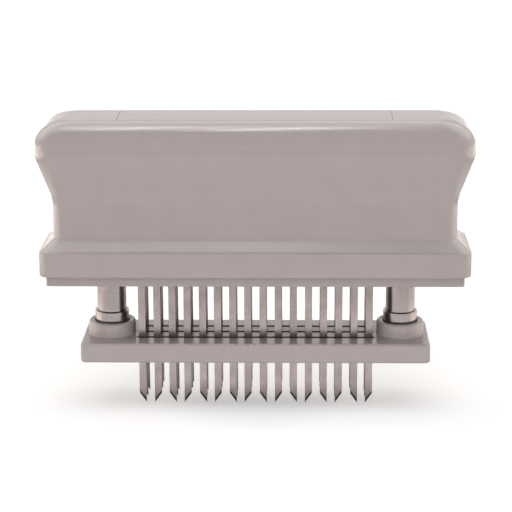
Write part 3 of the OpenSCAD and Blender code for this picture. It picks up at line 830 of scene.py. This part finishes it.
def makeBladeRow(name, node, y, random):
    # sixteen blades, their points turned to each other in pairs, each a little off its true place
    b = blades
    hang = coverSpan["high"]
    parts = []
    for i in range(b["perRow"]):
        stack = bladeShape(1 if i % 2 == 0 else -1)
        lean = random.uniform(-1, 1, 2) * b["play"] / hang
        drop = np.clip(hang - stack[..., 2], 0, None)
        stack[..., 0] += (i - (b["perRow"] - 1) / 2) * b["pitch"] + drop * lean[0]
        stack[..., 1] += y + drop * lean[1]
        parts.append(solidPart(stack))
    return makePiece(name, parts, bladeSteel, "handle", [node])


chance = np.random.default_rng(blades["seed"])
makeBladeRow("bladesFront", "blades_front", -rowPitch, chance)
makeBladeRow("bladesMiddle", "blades_middle", 0, chance)
makeBladeRow("bladesRear", "blades_rear", rowPitch, chance)
print("blades made")


# columns, collars and bushes are turned, in millimetres
turned = {
    "segments": 96,
    "footEdge": 0.4,
    "headEdge": 0.8,
    "centreMark": 0.5,
    "groove": 0.6,
    "screwHole": 2.5,
    "screwDepth": 11.0,
    "collarBore": 4.97,
    "collarEdge": 0.14,
    "bushBore": 4.98,
    "bushEdge": 0.2,
}


def makeColumn(name, node):
    s, t = span(node), turned
    ring = span("circlip_left")
    radius = s["halfX"]
    profile = roundedPath([
        [t["screwHole"], s["low"] + t["screwDepth"], 0], [t["screwHole"], s["low"], 0],
        [radius, s["low"], t["footEdge"]], [radius, ring["low"], 0],
        [radius - t["groove"], ring["low"], 0], [radius - t["groove"], ring["high"], 0],
        [radius, ring["high"], 0], [radius, s["high"], t["headEdge"]],
        [t["centreMark"], s["high"], 0]], 5, closed=False)
    stack = latheStack(profile, (s["x"], s["y"]), t["segments"])
    return makePiece(name, [solidPart(stack)], columnSteel, "press_plate", [node])


def makeRing(name, node, inner, edge, material, body):
    # a plain ring: a rectangle with softened corners carried round the axis
    s = span(node)
    profile = roundedPath([[inner, s["low"], edge], [s["halfX"], s["low"], edge],
                           [s["halfX"], s["high"], edge], [inner, s["high"], edge]], 4)
    stack = latheStack(profile, (s["x"], s["y"]), turned["segments"])
    return makePiece(name, [solidPart(stack, wrap=True)], material, body, [node])


for side in ("Left", "Right"):
    low = side.lower()
    makeColumn("column" + side, "column_" + low)
    makeRing("collar" + side, "collar_" + low, turned["collarBore"], turned["collarEdge"],
             columnSteel, "press_plate")
    makeRing("bush" + side, "bush_" + low, turned["bushBore"], turned["bushEdge"], bushBronze,
             "handle")
print("columns, collars and bushes made")


spring = {"turns": 10, "wire": 0.8, "endRise": 1.3, "ringsPerTurn": 36, "sides": 12}


def makeSpring(name, node):
    # a wire carried along a coil whose first and last curl are closer than the rest
    c, s = spring, span(node)
    turn = np.linspace(0, c["turns"], c["turns"] * c["ringsPerTurn"] + 1)
    length = s["high"] - s["low"] - c["wire"]
    rise = np.interp(turn, [0, 1, c["turns"] - 1, c["turns"]],
                     [0, c["endRise"], length - c["endRise"], length])
    coil = s["halfX"] - c["wire"] / 2
    angle = 2 * math.pi * turn
    across = np.linspace(0, 2 * math.pi, c["sides"], endpoint=False)
    radius = coil + c["wire"] / 2 * np.cos(across)
    x = s["x"] + np.cos(angle)[:, None] * radius
    y = s["y"] + np.sin(angle)[:, None] * radius
    z = s["low"] + c["wire"] / 2 + rise[:, None] + c["wire"] / 2 * np.sin(across)
    points, faces = solidPart(np.stack([x, y, z], -1))
    piece = makePiece(name, [(points, [f[::-1] for f in faces])], springSteel, None,
                      [node])
    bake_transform(piece)
    return piece


makeSpring("springLeft", "spring_left")
makeSpring("springRight", "spring_right")
print("springs made")


# CAD pieces that stay: fasteners and what is inside the handle
kept = {
    "blade_block": innerPlastic,
    "clamp_plate": innerPlastic,
    "spring_cap_left": innerPlastic,
    "spring_cap_right": innerPlastic,
    "clamp_screws": screwSteel,
    "cover_screws": screwSteel,
    "plate_screw_left": screwSteel,
    "plate_screw_right": screwSteel,
    "plate_washer_left": screwSteel,
    "plate_washer_right": screwSteel,
    "spring_washer_left": screwSteel,
    "spring_washer_right": screwSteel,
    "circlip_left": springSteel,
    "circlip_right": springSteel,
}
for node, material in kept.items():
    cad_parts[node].data.materials.clear()
    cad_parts[node].data.materials.append(material)
print("kept CAD pieces finished")


studio = {
    "world": 0.22,  # light from all round
    "floorZ": -1.5 * mm,  # just under the plate when it is fully down
    "floorColour": 0.80,
    "floorLift": (0.34, 0.85),  # near the tool, and far from it
    "floorReach": (0.15, 0.9),
    "floorHalf": 6.0,
    "lampAim": (0, 0, 0.05),
}

# large soft lamps: place, size, watts and colour
lamps = {
    "front": ((0, -1.6, 0.33), (2.4, 0.56), 8.6, (1, 1, 1)),
    "low": ((0, -0.9, 0.035), (1.6, 0.06), 4.0, (1, 1, 1)),
    "top": ((0, -0.35, 1.4), (1.6, 1.6), 14.0, (1, 1, 1)),
    "left": ((-0.95, 0.32, 0.22), (0.5, 0.5), 7.5, (1, 0.91, 0.83)),
    "right": ((0.95, 0.32, 0.22), (0.5, 0.5), 5.5, (1, 0.92, 0.86)),
}


def upright(x, y, z):
    # the corners of a rectangle that faces along Y
    return [(x[0], y, z[0]), (x[1], y, z[0]), (x[1], y, z[1]), (x[0], y, z[1])]


def level(x, y, z, slant=0):
    # the corners of a rectangle that faces along Z, its right end moved along Y by slant
    return [(x[0], y[0], z), (x[1], y[0] + slant, z), (x[1], y[1] + slant, z), (x[0], y[1], z)]


# cards that only show in reflections: corners, colour, strength, and the x between which it
# fades. Those overhead hang a little apart, and the lower one is met first
white, warm, cream = (1, 1, 1), (1, 0.955, 0.945), (1, 0.91, 0.82)
cards = {
    "frontCard": (upright((-2.2, 2.2), -1.5, (0.02, 2.6)), white, 0.20, None),
    "gapCard": (level((-2.2, 2.2), (-1.5, -0.65), 2.6), white, 0.20, None),
    "floorFront": (level((-0.9, 0.9), (-1.5, -0.19), -0.0012), white, 0.35, None),
    "backCard": (upright((-2.2, 2.2), 1.6, (0.02, 1.0)), warm, 1.12, None),
    "lowCard": (level((-0.4, 0.16), (-0.36, -0.12), 1.004), white, 1.2, (0.05, 0.16)),
    "topCard": (level((-2.2, 2.2), (-0.12, 1.5), 1.003), white, 2.7, None),
    "glowCard": (level((-0.26, 0.16), (-0.12, 0.22), 1.002), white, 4.4, (0.05, 0.14)),
    "stripLeft": (level((-0.165, -0.088), (-0.30, -0.20), 1.0, 0.32), white, 19.0, None),
    "stripRight": (level((-0.052, 0.037), (-0.350, -0.250), 1.0, 0.30), white, 23.0, None),
    "floorLeft": (level((-1.2, -0.2), (-0.2, 1.2), -0.0012), cream, 4.0, (-0.30, -0.2)),
    "floorRight": (level((0.2, 1.2), (-0.2, 1.2), -0.0012), cream, 3.0, (0.30, 0.2)),
    "bossLeft": (level((-0.156, -0.135), (-0.03, 0.05), -0.0012), cream, 3.2, None),
    "bossRight": (level((0.135, 0.156), (-0.03, 0.05), -0.0012), cream, 2.4, None),
}


def cameraLike(tree):
    # 1 for rays from the camera, off gloss and through clear material
    light = tree.nodes.new("ShaderNodeLightPath")
    seen = math2(tree, "ADD", light.outputs["Is Camera Ray"], light.outputs["Is Glossy Ray"])
    seen = math2(tree, "ADD", seen, light.outputs["Is Transmission Ray"])
    return math2(tree, "MINIMUM", seen, 1.0)


def makeWorld():
    world = bpy.data.worlds.new("studio")
    world.use_nodes = True
    tree = world.node_tree
    strength = math2(tree, "MULTIPLY_ADD", cameraLike(tree), 1.0 - studio["world"])
    strength.node.inputs[2].default_value = studio["world"]
    tree.links.new(strength, tree.nodes["Background"].inputs["Strength"])
    tree.nodes["Background"].inputs["Color"].default_value = (1, 1, 1, 1)
    bpy.context.scene.world = world


def addCard(name, corners, colour, strength, fade):
    mesh = bpy.data.meshes.new(name)
    mesh.from_pydata(corners, [], [[0, 1, 2, 3]])
    card = bpy.data.objects.new(name, mesh)
    bpy.context.scene.collection.objects.link(card)
    material = bpy.data.materials.new(name)
    material.use_nodes = True
    tree = material.node_tree
    tree.nodes.remove(tree.nodes["Principled BSDF"])
    glow = addNode(tree, "ShaderNodeEmission", Color=(*colour, 1), Strength=strength)
    if fade:
        tree.links.new(ramp(tree, objectAxes(tree)["X"], *fade, strength, 0.0),
                       glow.inputs["Strength"])
    tree.links.new(glow.outputs[0], tree.nodes["Material Output"].inputs["Surface"])
    mesh.materials.append(material)
    card.visible_camera = False
    card.visible_diffuse = False
    card.visible_shadow = False
    card.visible_transmission = False


def makeFloor():
    mesh = bpy.data.meshes.new("floor")
    half = studio["floorHalf"]
    mesh.from_pydata(level((-half, half), (-half, half), studio["floorZ"]), [], [[0, 1, 2, 3]])
    floor = bpy.data.objects.new("floor", mesh)
    bpy.context.scene.collection.objects.link(floor)
    material = bpy.data.materials.new("floorWhite")
    material.use_nodes = True
    tree = material.node_tree
    surface = tree.nodes["Principled BSDF"]
    surface.inputs["Base Color"].default_value = (*[studio["floorColour"]] * 3, 1)
    surface.inputs["Roughness"].default_value = 1.0
    surface.inputs["Specular IOR Level"].default_value = 0.0
    surface.inputs["Emission Color"].default_value = (1, 1, 1, 1)
    place = addNode(tree, "ShaderNodeTexCoord").outputs["Object"]
    away = addNode(tree, "ShaderNodeVectorMath", operation="LENGTH")
    tree.links.new(place, away.inputs[0])
    lift = ramp(tree, away.outputs["Value"], *studio["floorReach"], *studio["floorLift"])
    lift = math2(tree, "MULTIPLY", cameraLike(tree), lift)
    tree.links.new(lift, surface.inputs["Emission Strength"])
    mesh.materials.append(material)


def addLamp(name, place, size, watts, colour):
    # a rectangle of light aimed at the tool, left out of reflections
    data = bpy.data.lights.new(name, "AREA")
    data.shape = "RECTANGLE"
    data.size, data.size_y = size
    data.energy = watts
    data.color = colour
    lamp = bpy.data.objects.new(name, data)
    lamp.location = place
    aim = Vector(studio["lampAim"]) - Vector(place)
    lamp.rotation_euler = aim.to_track_quat("-Z", "Y").to_euler()
    lamp.visible_glossy = False
    bpy.context.scene.collection.objects.link(lamp)


makeWorld()
makeFloor()
for name, settings in lamps.items():
    addLamp(name, *settings)
for name, settings in cards.items():
    addCard(name, *settings)
bpy.context.scene.view_settings.view_transform = "Standard"
print("studio made")
